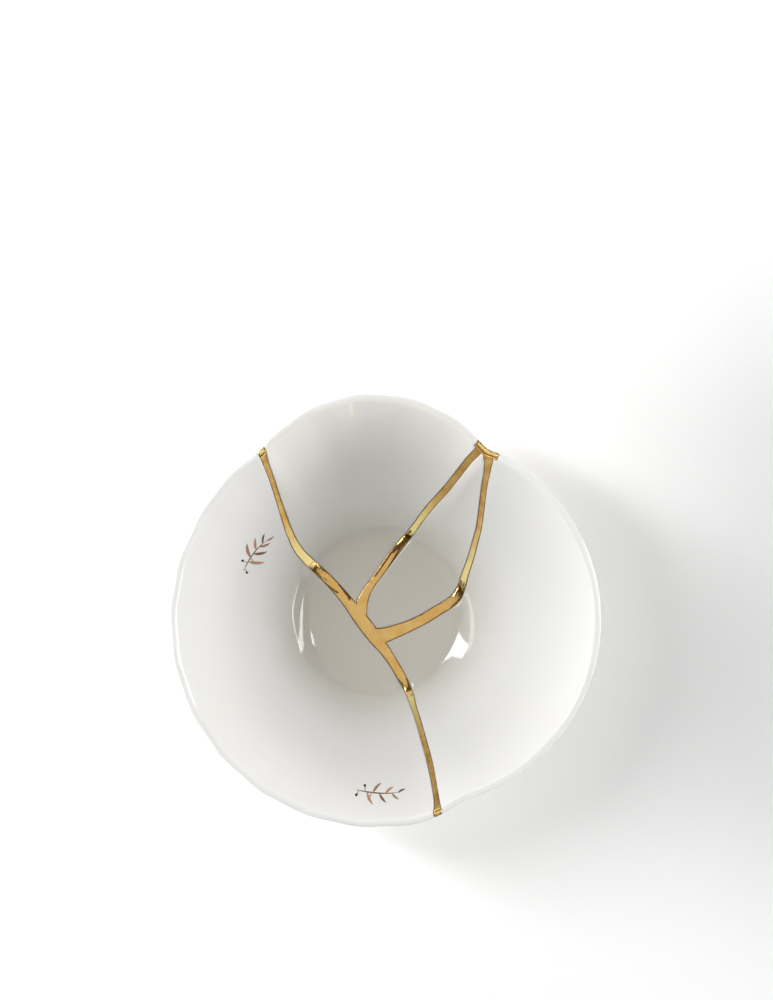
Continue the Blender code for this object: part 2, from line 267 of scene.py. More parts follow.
def flat_pattern(for_gold):
    """Cuts the plate's flat pattern along its breaks: points, triangles and which of them are gold."""
    lines = [break_line(points) for points in (LONG_BREAK, UPPER_BREAK, LOWER_BREAK, LIP_CAP)]
    widening = -JOINT_GAP / 2 if for_gold else JOINT_GAP / 2
    round_about = np.arange(LIP_STEPS) * 360.0 / LIP_STEPS
    run = wall_run(round_about)
    fixed = [inside_plan(round_about, 2.0 + LIP_WIDTH / 2 / run)]
    outlines = [list(range(LIP_STEPS))]
    count = LIP_STEPS
    inner, rings = [], []
    for middle, half, aside in lines:
        reach = (half + widening)[:, None]
        across_end = middle[-1] + aside[-1] * reach[-1] * np.linspace(-1.0, 1.0, 9)[1:-1, None]
        sides = np.concatenate([middle - aside * reach, across_end, (middle + aside * reach)[::-1]])
        fixed.append(sides)
        outlines.append(list(range(count, count + len(sides))))
        count += len(sides)
        for ring in GOLD_RINGS if for_gold else CHINA_RINGS:
            offset = reach - ring if for_gold else reach + ring
            useful = offset[:, 0] > 0.0002
            inner += [(middle + aside * offset)[useful], (middle - aside * offset)[useful]]
        if for_gold:
            inner.append(middle)
    for past in LIP_RINGS:
        rings.append(inside_plan(round_about, 2.0 + past / run))
    around_foot = np.arange(0.0, 360.0, 1.2)
    for share in FOOT_SHARES:
        rings.append(inside_plan(around_foot, share))
    if not for_gold:
        side = np.arange(-0.099, 0.099, SKIN_GRID)
        across, up = np.meshgrid(side, side * math.sqrt(0.75))
        across[::2] += SKIN_GRID / 2
        skin = np.stack([across.ravel(), up.ravel()], axis=1)
        seam = np.concatenate(fixed[1:])
        skin = skin[distance_to_lines(skin, seam, np.roll(seam, 1, axis=0)) > 0.0012]
        inner.append(skin)
    inner = thinned(np.concatenate(inner), 0.00022 if for_gold else 0.00030)
    # The steep sides of the foot ring take their points from the rings alone, so that they turn smoothly
    inner_share = place_on_inside(inner)[1]
    at_foot = (inner_share > FOOT_FROM) & (inner_share < FOOT_TO)
    inner = np.concatenate([inner[~at_foot], *rings])
    # Only what lies well clear of the fixed lines is kept, since a point on a line would split it
    fixed = np.concatenate(fixed)
    nearest = distance_to_lines(inner, fixed[:-1], fixed[1:])
    inner = inner[nearest > 0.00004]
    points = np.concatenate([fixed, inner]) * 1000.0
    verts, _, faces, _, _, sources = delaunay_2d_cdt(
        [Vector(point) for point in points], [], outlines, 0, 1e-5
    )
    verts = np.array(verts) / 1000.0
    inside = [0 in source for source in sources]
    gold = [bool(set(source) - {0}) for source in sources]
    wanted = [face for face, within, is_gold in zip(faces, inside, gold) if within and is_gold == for_gold]
    return verts, wanted


def separate_blanks(faces):
    """Groups triangles that share edges: each group is one shard."""
    by_edge = {}
    for number, face in enumerate(faces):
        for index in range(3):
            by_edge.setdefault(frozenset((face[index - 1], face[index])), []).append(number)
    unseen = set(range(len(faces)))
    while unseen:
        group, rim = set(), [unseen.pop()]
        while rim:
            number = rim.pop()
            group.add(number)
            for index in range(3):
                for other in by_edge[frozenset((faces[number][index - 1], faces[number][index]))]:
                    if other in unseen:
                        unseen.discard(other)
                        rim.append(other)
        yield [faces[number] for number in sorted(group)]


def blank_mesh(name, verts, faces):
    """A flat blank of two sheets that meet at the crest of the lip, and the edges torn by the breaks."""
    used = sorted({index for face in faces for index in face})
    place = {index: number for number, index in enumerate(used)}
    faces = np.array([[place[index] for index in face] for face in faces])
    plan = verts[used]
    turned = np.cross(plan[faces[:, 1]] - plan[faces[:, 0]], plan[faces[:, 2]] - plan[faces[:, 0]]) < 0
    faces[turned] = faces[turned][:, ::-1]
    angle, share = place_on_inside(plan)
    run = wall_run(angle)
    past_lip = (share - 2.0) * run
    crest = past_lip > LIP_WIDTH / 2 - 0.00002
    sides = np.concatenate([faces[:, [0, 1]], faces[:, [1, 2]], faces[:, [2, 0]]])
    known = {(start, end) for start, end in sides}
    open_sides = np.array([side for side in sides if (side[1], side[0]) not in known])
    torn = open_sides[~(crest[open_sides[:, 0]] & crest[open_sides[:, 1]])]
    edge = distance_to_lines(plan, plan[torn[:, 0]], plan[torn[:, 1]])
    outer = np.where(crest, np.arange(len(plan)), len(plan) + np.cumsum(~crest) - 1)

    def both(values):
        return np.concatenate([values, values[~crest]])

    mesh = bpy.data.meshes.new(name)
    flat = np.column_stack([both(plan), np.zeros(len(plan) + (~crest).sum())])
    triangles = np.concatenate([faces, outer[faces][:, ::-1]])
    mesh.from_pydata(flat.tolist(), [], triangles.tolist())
    up_the_wall = inside_plan(angle, 2.0) - inside_plan(angle, 1.0)
    outward = np.where((share > 1.0)[:, None], up_the_wall, direction(angle))
    outward = outward / np.linalg.norm(outward, axis=1, keepdims=True)
    sheet = np.concatenate([np.zeros(len(plan)), np.ones((~crest).sum())])
    for title, values in (
        ("share", both(share)), ("run", both(run)), ("edge", both(edge)), ("sheet", sheet),
        ("softness", both(floor_softness(angle))), ("crease", both(crease_height(angle, share))),
        ("outward_x", both(outward[:, 0])), ("outward_y", both(outward[:, 1])),
    ):
        mesh.attributes.new(title, "FLOAT", "POINT").data.foreach_set("value", values.astype(np.float32))
    return mesh, torn, outer[torn]


def math_step(tree, operation, *values):
    """One Math node; each value is a number or another node's socket."""
    step = tree.nodes.new("ShaderNodeMath")
    step.operation = operation
    for socket, value in zip(step.inputs, values):
        if isinstance(value, bpy.types.NodeSocket):
            tree.links.new(value, socket)
        else:
            socket.default_value = value
    return step.outputs[0]


def pressing_tree():
    """Presses a flat blank over the bowl's form: walls, lip, foot ring, eased edges and a slight ripple."""
    tree = bpy.data.node_groups.new("press_into_bowl", "GeometryNodeTree")
    tree.interface.new_socket("Geometry", in_out="INPUT", socket_type="NodeSocketGeometry")
    for name, value in (
        ("Floor Height", FLOOR_HEIGHT), ("Floor Radius", FLOOR_RADIUS), ("Floor Dish", FLOOR_DISH),
        ("Rise", PLATE_HEIGHT - LIP_ROUNDING - FLOOR_HEIGHT), ("Rim Height", PLATE_HEIGHT),
        ("Wall Start", WALL_START), ("Wall Thickness", WALL_THICKNESS), ("Lip Half Width", LIP_WIDTH / 2),
        ("Lip Inner Softness", 0.0006), ("Lip Outer Fullness", 1.0), ("Foot Height", FOOT_HEIGHT),
        ("Edge Rounding", EDGE_ROUNDING), ("Shoulder", 0.00008), ("Set Back", 0.0), ("Ripple", 0.0),
        ("Ripple Size", 0.02), ("Ripple Seed", 1.0),
    ):
        socket = tree.interface.new_socket(name, in_out="INPUT", socket_type="NodeSocketFloat")
        socket.default_value = value
    tree.interface.new_socket("Material", in_out="INPUT", socket_type="NodeSocketMaterial")
    tree.interface.new_socket("Geometry", in_out="OUTPUT", socket_type="NodeSocketGeometry")
    given = tree.nodes.new("NodeGroupInput").outputs
    result = tree.nodes.new("NodeGroupOutput")

    def calc(operation, *values):
        return math_step(tree, operation, *values)

    def stored(name):
        node = tree.nodes.new("GeometryNodeInputNamedAttribute")
        node.data_type = "FLOAT"
        node.inputs["Name"].default_value = name
        return node.outputs["Attribute"]

    def soft_step(value, low, high):
        node = tree.nodes.new("ShaderNodeMapRange")
        node.interpolation_type = "SMOOTHSTEP"
        tree.links.new(value, node.inputs["Value"])
        node.inputs["From Min"].default_value = low
        node.inputs["From Max"].default_value = high
        return node.outputs["Result"]

    def between(low, high, part):
        return calc("MULTIPLY_ADD", calc("SUBTRACT", high, low), part, low)

    def vector(x, y, z):
        node = tree.nodes.new("ShaderNodeCombineXYZ")
        for socket, value in zip(node.inputs, (x, y, z)):
            tree.links.new(value, socket)
        return node.outputs[0]

    share, run, edge, sheet = (stored(name) for name in ("share", "run", "edge", "sheet"))
    outward_x, outward_y = stored("outward_x"), stored("outward_y")
    place = tree.nodes.new("ShaderNodeSeparateXYZ")
    tree.links.new(tree.nodes.new("GeometryNodeInputPosition").outputs[0], place.inputs[0])
    # Slope and height of the inside, up to the lip
    below = calc("MINIMUM", share, 2.0)
    past_lip = calc("MULTIPLY", calc("MAXIMUM", calc("SUBTRACT", share, 2.0), 0.0), run)
    on_wall = calc("GREATER_THAN", below, 1.0)
    past_floor = calc("MULTIPLY", calc("SUBTRACT", below, 1.0), between(given["Floor Radius"], run, on_wall))
    squares = calc("ADD", calc("POWER", past_floor, 2.0), calc("POWER", stored("softness"), 2.0))
    swing = calc("SQRT", squares)
    wall = calc("MAXIMUM", calc("SUBTRACT", below, 1.0), 0.0)
    early = calc("DIVIDE", calc("MULTIPLY", given["Wall Start"], given["Rise"]), run)
    late = calc("MULTIPLY", calc("SUBTRACT", 1.0, given["Wall Start"]), given["Rise"])
    early_rise = calc("MULTIPLY", early, calc("MULTIPLY", calc("ADD", past_floor, swing), 0.5))
    late_rise = calc("MULTIPLY", late, calc("MULTIPLY", wall, wall))
    dish = calc("MULTIPLY", given["Floor Dish"], calc("POWER", calc("MINIMUM", share, 1.0), FLOOR_DISH_POWER))
    floor = calc("ADD", calc("MULTIPLY_ADD", given["Floor Dish"], -0.5, given["Floor Height"]), dish)
    floor = calc("MULTIPLY_ADD", calc("MULTIPLY", given["Floor Dish"], -0.5), wall, floor)
    last_slope = calc("MULTIPLY", given["Floor Dish"], FLOOR_DISH_POWER / FLOOR_RADIUS)
    beyond = calc("DIVIDE", calc("MULTIPLY", wall, run), FLOOR_DISH_FADE)
    keep = calc("SUBTRACT", 1.0, calc("MINIMUM", beyond, 1.0))
    faded = calc("MULTIPLY", calc("SUBTRACT", 1.0, calc("POWER", keep, 3.0)), FLOOR_DISH_FADE / 3)
    floor = calc("MULTIPLY_ADD", last_slope, faded, floor)
    height = calc("ADD", floor, calc("ADD", early_rise, late_rise))
    early_slope = calc("MULTIPLY", early, calc("MULTIPLY_ADD", calc("DIVIDE", past_floor, swing), 0.5, 0.5))
    late_slope = calc("DIVIDE", calc("MULTIPLY", calc("MULTIPLY", late, wall), 2.0), run)
    slope = calc("ADD", early_slope, late_slope)
    cosine = calc("DIVIDE", 1.0, calc("SQRT", calc("MULTIPLY_ADD", slope, slope, 1.0)))
    sine = calc("MULTIPLY", slope, cosine)

    def under_rim(level):
        """The lower of two levels, rounded over where they meet."""
        gap = calc("SUBTRACT", level, given["Rim Height"])
        softness = given["Lip Inner Softness"]
        bend = calc("SQRT", calc("ADD", calc("MULTIPLY", gap, gap), calc("MULTIPLY", softness, softness)))
        return calc("MULTIPLY", calc("SUBTRACT", calc("ADD", level, given["Rim Height"]), bend), 0.5)

    inner_height = under_rim(calc("MULTIPLY_ADD", slope, past_lip, height))
    # The outside: the wall below the lip, then one curve from there to the lip's crest
    half_lip = given["Lip Half Width"]
    crest_height = under_rim(calc("MULTIPLY_ADD", slope, half_lip, height))
    part = calc("DIVIDE", past_lip, half_lip)
    reach_0 = calc("MULTIPLY", given["Wall Thickness"], sine)
    height_0 = calc("SUBTRACT", height, calc("MULTIPLY", given["Wall Thickness"], cosine))
    lower_pull = calc("MULTIPLY", given["Lip Outer Fullness"], 0.0026)
    upper_pull = calc("MULTIPLY", given["Lip Outer Fullness"], 0.0019)
    reach_1 = calc("MULTIPLY_ADD", lower_pull, cosine, reach_0)
    height_1 = calc("MULTIPLY_ADD", lower_pull, sine, height_0)
    reaches = [reach_0, reach_1, calc("ADD", half_lip, upper_pull), half_lip]
    heights = [height_0, height_1, crest_height, crest_height]
    for _ in range(3):
        reaches = [between(low, high, part) for low, high in zip(reaches, reaches[1:])]
        heights = [between(low, high, part) for low, high in zip(heights, heights[1:])]
    # Under the floor the wall passes into the foot ring
    into_wall = soft_step(share, 0.945, 1.0)
    ring = calc("ADD", soft_step(share, 0.931, 0.945), calc("SUBTRACT", 1.0, soft_step(share, 0.840, 0.854)))
    outer_height = between(calc("MULTIPLY", given["Foot Height"], ring), heights[0], into_wall)
    shift = calc("MULTIPLY", sheet, calc("MULTIPLY", into_wall, calc("SUBTRACT", reaches[0], past_lip)))
    raised = tree.nodes.new("GeometryNodeSetPosition")
    tree.links.new(given["Geometry"], raised.inputs["Geometry"])
    tree.links.new(
        vector(
            calc("MULTIPLY_ADD", outward_x, shift, place.outputs[0]),
            calc("MULTIPLY_ADD", outward_y, shift, place.outputs[1]),
            between(inner_height, outer_height, sheet),
        ),
        raised.inputs["Position"],
    )
    # Eased edges: a quarter round along each break, and a long low shoulder behind it
    short_of = calc("MAXIMUM", calc("SUBTRACT", given["Edge Rounding"], edge), 0.0)
    rounding = given["Edge Rounding"]
    left_over = calc("SUBTRACT", calc("MULTIPLY", rounding, rounding), calc("MULTIPLY", short_of, short_of))
    round_off = calc("SUBTRACT", rounding, calc("SQRT", calc("MAXIMUM", left_over, 0.0)))
    shoulder = calc("MULTIPLY", given["Shoulder"], calc("SUBTRACT", 1.0, soft_step(edge, 0.0, 0.0016)))
    facet = calc("MULTIPLY", stored("crease"), calc("SUBTRACT", 1.0, sheet))
    noise = tree.nodes.new("ShaderNodeTexNoise")
    noise.noise_dimensions = "4D"
    tree.links.new(given["Ripple Seed"], noise.inputs["W"])
    tree.links.new(calc("DIVIDE", 1.0, given["Ripple Size"]), noise.inputs["Scale"])
    noise.inputs["Detail"].default_value = 1.0
    ripple = calc("MULTIPLY", calc("SUBTRACT", noise.outputs[0], 0.5), calc("MULTIPLY", given["Ripple"], 2.0))
    raised_parts = calc("SUBTRACT", calc("ADD", shoulder, ripple), facet)
    inset = calc("ADD", calc("ADD", given["Set Back"], round_off), raised_parts)
    push = tree.nodes.new("ShaderNodeVectorMath")
    push.operation = "SCALE"
    tree.links.new(tree.nodes.new("GeometryNodeInputNormal").outputs[0], push.inputs[0])
    tree.links.new(calc("MULTIPLY", inset, -1.0), push.inputs["Scale"])
    eased_skin = tree.nodes.new("GeometryNodeSetPosition")
    tree.links.new(raised.outputs[0], eased_skin.inputs["Geometry"])
    tree.links.new(push.outputs[0], eased_skin.inputs["Offset"])
    whole = tree.nodes.new("GeometryNodeRealizeInstances")
    tree.links.new(eased_skin.outputs[0], whole.inputs[0])
    coloured = tree.nodes.new("GeometryNodeSetMaterial")
    tree.links.new(whole.outputs[0], coloured.inputs["Geometry"])
    tree.links.new(given["Material"], coloured.inputs["Material"])
    tree.links.new(coloured.outputs[0], result.inputs[0])
    return tree


def after_nodes(name, mesh, tree, values):
    """The plain mesh that a tree makes of a blank."""
    obj = bpy.data.objects.new(name, mesh)
    bpy.context.scene.collection.objects.link(obj)
    step = obj.modifiers.new(tree.name, "NODES")
    step.node_group = tree
    for socket in tree.interface.items_tree:
        if socket.in_out == "INPUT" and socket.name in values:
            step[socket.identifier] = values[socket.name]
    bpy.context.view_layer.update()
    made = bpy.data.meshes.new_from_object(obj.evaluated_get(bpy.context.evaluated_depsgraph_get()))
    obj.modifiers.remove(step)
    obj.data = made
    obj.name = name
    return obj


def pressed_piece(name, verts, faces, tree, values):
    """A closed piece: a blank pressed into shape, with its two skins then joined along the breaks."""
    blank, torn_inner, torn_outer = blank_mesh(name + "_blank", verts, faces)
    piece = after_nodes(name, blank, tree, values)
    work = bmesh.new()
    work.from_mesh(piece.data)
    work.verts.ensure_lookup_table()
    for (start, end), (start_out, end_out) in zip(torn_inner, torn_outer):
        corners = dict.fromkeys([end, start, start_out, end_out])
        work.faces.new([work.verts[index] for index in corners])
    work.to_mesh(piece.data)
    work.free()
    piece.data.shade_smooth()
    return piece


press = pressing_tree()
china_verts, china_faces = flat_pattern(for_gold=False)


def shader_step(tree, kind, settings, **values):
    """One shader node with its settings; each value is a number, a colour or another node's socket."""
    step = tree.nodes.new(kind)
    for name, value in settings.items():
        setattr(step, name, value)
    for name, value in values.items():
        socket = step.inputs[name.replace("_", " ")]
        if isinstance(value, bpy.types.NodeSocket):
            tree.links.new(value, socket)
        else:
            socket.default_value = value
    return step


def attribute_value(tree, name):
    """A value that the pressed mesh carries at each point."""
    return shader_step(tree, "ShaderNodeAttribute", {"attribute_name": name}).outputs["Fac"]


def soft_mask(tree, value, low, high):
    """0 below low and 1 above high, with a soft step between."""
    mask = shader_step(tree, "ShaderNodeMapRange", {"interpolation_type": "SMOOTHSTEP"}, Value=value)
    mask.inputs["From Min"].default_value = low
    mask.inputs["From Max"].default_value = high
    return mask.outputs["Result"]


def uneven(tree, noise, amount, value):
    """A value that noise shifts up or down."""
    return math_step(tree, "MULTIPLY_ADD", math_step(tree, "SUBTRACT", noise, 0.5), amount, value)


def mixed_colours(tree, part, first, second):
    """The first colour where part is 0 and the second where it is 1."""
    mix = tree.nodes.new("ShaderNodeMix")
    mix.data_type = "RGBA"
    tree.links.new(part, mix.inputs["Factor"])
    for socket, value in ((mix.inputs["A"], first), (mix.inputs["B"], second)):
        if isinstance(value, bpy.types.NodeSocket):
            tree.links.new(value, socket)
        else:
            socket.default_value = value
    return mix.outputs["Result"]


def glaze_effect():
    """Glaze over white china: pooled glaze and painted shade on the floor, a fine dark line at the breaks,
    the foot ring bare.
    """
    tree = bpy.data.node_groups.new("pooled_glaze", "ShaderNodeTree")
    for name, kind, value in (
        ("Wall Colour", "NodeSocketColor", (0.80, 0.80, 0.79, 1.0)),
        ("Floor Colour And Shade", "NodeSocketColor", (0.70, 0.68, 0.63, 1.0)),
        ("Bare Colour", "NodeSocketColor", (0.74, 0.72, 0.68, 1.0)),
        ("Break Colour", "NodeSocketColor", (0.42, 0.34, 0.25, 1.0)),
        ("Cloud Size", "NodeSocketFloat", 0.03),
        ("Gloss Roughness", "NodeSocketFloat", 0.05),
    ):
        socket = tree.interface.new_socket(name, in_out="INPUT", socket_type=kind)
        socket.default_value = value
    for name, kind in (
        ("Colour", "NodeSocketColor"), ("Roughness", "NodeSocketFloat"), ("Height", "NodeSocketFloat"),
    ):
        tree.interface.new_socket(name, in_out="OUTPUT", socket_type=kind)
    given = tree.nodes.new("NodeGroupInput").outputs
    made = tree.nodes.new("NodeGroupOutput").inputs
    place = tree.nodes.new("ShaderNodeTexCoord").outputs["Object"]
    height = shader_step(tree, "ShaderNodeSeparateXYZ", {}, Vector=place).outputs["Z"]
    cloud_scale = math_step(tree, "DIVIDE", 1.0, given["Cloud Size"])
    cloud = shader_step(tree, "ShaderNodeTexNoise", {}, Vector=place, Scale=cloud_scale, Detail=3.0)
    # Towards the floor the colour turns warmer for the pooled glaze, and darker as painted shade at the
    # bottom of the deep bowl
    drift = uneven(tree, cloud.outputs[0], 0.25, attribute_value(tree, "share"))
    outside = attribute_value(tree, "sheet")
    up_the_wall = math_step(tree, "MAXIMUM", soft_mask(tree, drift, 0.80, 1.45), outside)
    body = mixed_colours(tree, up_the_wall, given["Floor Colour And Shade"], given["Wall Colour"])
    # The glaze was wiped from the ring that it stands on
    bare = math_step(tree, "SUBTRACT", 1.0, soft_mask(tree, height, 0.0003, 0.0007))
    body = mixed_colours(tree, bare, body, given["Bare Colour"])
    # A fine dark line where the glaze meets the mend
    grain = shader_step(tree, "ShaderNodeTexNoise", {}, Vector=place, Scale=900.0, Detail=2.0)
    ragged = uneven(tree, grain.outputs[0], 0.0002, attribute_value(tree, "edge"))
    past_dark_break_line = soft_mask(tree, ragged, 0.00004, 0.00022)
    dark_break_line = math_step(tree, "MULTIPLY", math_step(tree, "SUBTRACT", 1.0, past_dark_break_line), 0.8)
    tree.links.new(mixed_colours(tree, dark_break_line, body, given["Break Colour"]), made["Colour"])
    polish = math_step(tree, "MULTIPLY_ADD", cloud.outputs[0], 0.03, given["Gloss Roughness"])
    tree.links.new(math_step(tree, "MULTIPLY_ADD", bare, 0.45, polish), made["Roughness"])
    # Heights in millimetres: a long slow ripple, a fine orange peel, and the bare ring's dry grain
    ripple = shader_step(tree, "ShaderNodeTexNoise", {}, Vector=place, Scale=70.0, Detail=1.0).outputs[0]
    peel = shader_step(tree, "ShaderNodeTexNoise", {}, Vector=place, Scale=420.0, Detail=1.0).outputs[0]
    smooth_part = math_step(tree, "MULTIPLY_ADD", ripple, 0.05, math_step(tree, "MULTIPLY", peel, 0.0025))
    dry_part = math_step(tree, "MULTIPLY", math_step(tree, "MULTIPLY", grain.outputs[0], 0.03), bare)
    tree.links.new(math_step(tree, "ADD", smooth_part, dry_part), made["Height"])
    return tree


def china_material(name, wall_colour, floor_colour_and_shade, cloud_size, roughness):
    """White china under the pooled glaze, with painted shade on its floor."""
    material = bpy.data.materials.new(name)
    material.use_nodes = True
    tree = material.node_tree
    shader = tree.nodes["Principled BSDF"]
    effect = tree.nodes.new("ShaderNodeGroup")
    effect.node_tree = glaze
    effect.inputs["Wall Colour"].default_value = (*wall_colour, 1.0)
    effect.inputs["Floor Colour And Shade"].default_value = (*floor_colour_and_shade, 1.0)
    effect.inputs["Cloud Size"].default_value = cloud_size
    effect.inputs["Gloss Roughness"].default_value = roughness
    relief = effect.outputs["Height"]
    bump = shader_step(tree, "ShaderNodeBump", {}, Height=relief, Distance=0.001, Strength=1.0)
    tree.links.new(effect.outputs["Colour"], shader.inputs["Base Color"])
    tree.links.new(effect.outputs["Roughness"], shader.inputs["Roughness"])
    tree.links.new(bump.outputs[0], shader.inputs["Normal"])
    shader.inputs["IOR"].default_value = 1.52
    return material


glaze = glaze_effect()
# The floor's colour: warmer for the pooled glaze, and darker as painted shade
floor_glaze_and_shade = (0.530, 0.503, 0.440)
shards = {
    "left_fragment": (
        {"Lip Inner Softness": 0.0014, "Lip Outer Fullness": 0.85},
        china_material("left_china_glaze", (0.745, 0.742, 0.727), floor_glaze_and_shade, 0.034, 0.050),
    ),
    # The back shard's white is darker and yellower: partly its own china, partly painted shade on its wall
    "back_fragment": (
        {"Lip Inner Softness": 0.0012, "Lip Outer Fullness": 0.85},
        china_material("back_china_glaze", (0.745, 0.735, 0.700), floor_glaze_and_shade, 0.026, 0.055),
    ),
    "wedge_fragment": (
        {},
        china_material("wedge_china_glaze", (0.765, 0.757, 0.728), floor_glaze_and_shade, 0.022, 0.050),
    ),
    "right_fragment": (
        {"Lip Inner Softness": 0.0005},
        china_material("right_china_glaze", (0.770, 0.770, 0.757), floor_glaze_and_shade, 0.038, 0.045),
    ),
}


def middle_of(node):
    """The middle of a solid's box, seen from above."""
    low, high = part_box(node)
    return (np.array(low)[:2] + np.array(high)[:2]) / 2


for blank in separate_blanks(china_faces):
    corner_mean = china_verts[[index for face in blank for index in face]].mean(axis=0)
    closest = {name: np.linalg.norm(corner_mean - middle_of(name)) for name in shards}
    name = min(closest, key=closest.get)
    values, glazing = shards[name]
    shard = pressed_piece(name + "_china", china_verts, blank, press, {**values, "Material": glazing})
    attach(shard, "root")
    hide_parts(name)

# Gold seam
# The mend between the shards: lacquer filler that goes through the wall, under a skin of gold laid by hand.
# It sits a little below the glaze and wraps over the lip at three places.
GOLD_SET_BACK = 0.00018
DARK_MOTTLED_PLACES = (  # from, to, how far to each side and how much: listed places where the gold is painted dark and mottled
    ((-0.0292, 0.0128), (-0.0172, 0.0026), 0.0020, 0.40),
    ((-0.0306, 0.0114), (-0.0228, 0.0056), 0.0008, 1.00),
    ((-0.0222, 0.0098), (-0.0168, 0.0030), 0.0009, 1.00),
    ((-0.0047, 0.0137), (0.0056, 0.0285), 0.0008, 1.00),
    ((0.0002, 0.0150), (0.0088, 0.0300), 0.0008, 0.80),
    ((0.0040, 0.0250), (0.0120, 0.0350), 0.0013, 0.75),
    ((0.0340, 0.0062), (0.0362, 0.0078), 0.0008, 0.90),
    ((0.0290, -0.0035), (0.0352, 0.0010), 0.0022, 0.28),
    ((0.0080, -0.0368), (0.0110, -0.0420), 0.0020, 0.30),
)
gold = bpy.data.materials.new("laid_gold")
gold.use_nodes = True
tree = gold.node_tree
shader = tree.nodes["Principled BSDF"]
shader.inputs["Metallic"].default_value = 1.0
place = tree.nodes.new("ShaderNodeTexCoord").outputs["Object"]
patches = shader_step(tree, "ShaderNodeTexNoise", {}, Vector=place, Scale=160.0, Detail=3.0).outputs[0]
grain = shader_step(tree, "ShaderNodeTexNoise", {}, Vector=place, Scale=1300.0, Detail=3.0).outputs[0]
pits = shader_step(tree, "ShaderNodeTexVoronoi", {}, Vector=place, Scale=520.0).outputs["Distance"]
# A dark brown, rougher line along the gold's edges
from_edge = uneven(tree, patches, 0.0004, attribute_value(tree, "edge"))
dark_gold_edge = math_step(tree, "SUBTRACT", 1.0, soft_mask(tree, from_edge, 0.00006, 0.00034))
deep_gold = (0.90, 0.54, 0.16, 1.0)
pale_gold = (1.0, 0.69, 0.27, 1.0)
edge_brown = (0.16, 0.075, 0.022, 1.0)
body = mixed_colours(tree, soft_mask(tree, patches, 0.35, 0.65), deep_gold, pale_gold)
off_pits = soft_mask(tree, pits, 0.05, 0.16)
pitted = math_step(tree, "MULTIPLY", math_step(tree, "SUBTRACT", 1.0, off_pits), 0.55)
body = mixed_colours(tree, pitted, body, edge_brown)
# The lip: painted shade along its inner side, and a painted highlight on its outer side
past_floor = attribute_value(tree, "share")
past_lip = math_step(
    tree, "MULTIPLY", math_step(tree, "SUBTRACT", past_floor, 2.0), attribute_value(tree, "run")
)
on_outside = attribute_value(tree, "sheet")
painted_lip_shade = math_step(
    tree, "SUBTRACT", soft_mask(tree, past_lip, 0.0003, 0.0006), soft_mask(tree, past_lip, 0.0009, 0.0013)
)
painted_lip_shade = math_step(tree, "MULTIPLY", painted_lip_shade, math_step(tree, "MULTIPLY_ADD", on_outside, -0.85, 0.85))
body = mixed_colours(tree, painted_lip_shade, body, (0.26, 0.11, 0.018, 1.0))
painted_lip_glint = math_step(tree, "MULTIPLY", soft_mask(tree, past_lip, 0.0002, 0.0008), on_outside)
body = mixed_colours(tree, painted_lip_glint, body, (1.0, 0.80, 0.38, 1.0))
# Painted reflection: the gold is painted darker on the plate's floor and brightest where the wall rises from
# it
painted_floor_dark_reflection = math_step(tree, "MULTIPLY_ADD", soft_mask(tree, past_floor, 0.97, 1.01), -1.0, 1.0)
body = mixed_colours(tree, math_step(tree, "MULTIPLY", painted_floor_dark_reflection, 0.5), body, (0.60, 0.35, 0.105, 1.0))
painted_wall_foot_reflection = math_step(
    tree, "SUBTRACT", soft_mask(tree, past_floor, 0.98, 1.03), soft_mask(tree, past_floor, 1.12, 1.50)
)
body = mixed_colours(tree, painted_wall_foot_reflection, body, (1.0, 0.82, 0.36, 1.0))
# A few dark mottled places painted on the gold
mottled = uneven(tree, patches, 1.3, attribute_value(tree, "dark_mottling"))
dark_mottle = math_step(tree, "MULTIPLY", soft_mask(tree, mottled, 0.32, 0.62), 0.93)
body = mixed_colours(tree, dark_mottle, body, (0.085, 0.040, 0.012, 1.0))
tree.links.new(mixed_colours(tree, dark_gold_edge, body, edge_brown), shader.inputs["Base Color"])
polish = math_step(tree, "MULTIPLY_ADD", patches, 0.14, 0.11)
tree.links.new(math_step(tree, "MULTIPLY_ADD", dark_gold_edge, 0.25, polish), shader.inputs["Roughness"])
wrinkles = math_step(tree, "MULTIPLY_ADD", patches, 0.10, math_step(tree, "MULTIPLY", grain, 0.004))
gold_bump = shader_step(tree, "ShaderNodeBump", {}, Height=wrinkles, Distance=0.001, Strength=1.0)
tree.links.new(gold_bump.outputs[0], shader.inputs["Normal"])
gold_verts, gold_faces = flat_pattern(for_gold=True)
seam = pressed_piece(
    "gold_mend", gold_verts, gold_faces, press,
    {
        "Material": gold, "Set Back": GOLD_SET_BACK, "Edge Rounding": 0.0002, "Shoulder": 0.00004,
        "Ripple": 0.00006, "Ripple Size": 0.009,
    },
)
spots = np.zeros(len(seam.data.vertices) * 3)
seam.data.vertices.foreach_get("co", spots)
spots = spots.reshape(-1, 3)[:, :2]
dark_mottling = np.zeros(len(spots))
for start, end, reach, strength in DARK_MOTTLED_PLACES:
    away = distance_to_lines(spots, np.array([start]), np.array([end]))
    dark_mottling = np.maximum(dark_mottling, strength * eased(1.0 - away / reach))
carried = seam.data.attributes.new("dark_mottling", "FLOAT", "POINT")
carried.data.foreach_set("value", dark_mottling.astype(np.float32))
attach(seam, "root")
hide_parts("gold_seam")

# Painted sprigs
# Two small leafy sprigs in brown enamel, brushed on the glaze and fired: a thin skin of paint that
# follows the wall. One is on the left of the plate and one near its front.
PAINT_HEIGHT = 0.00005
PAINT_THICKNESS = 0.00015
STROKE_STEPS = 14


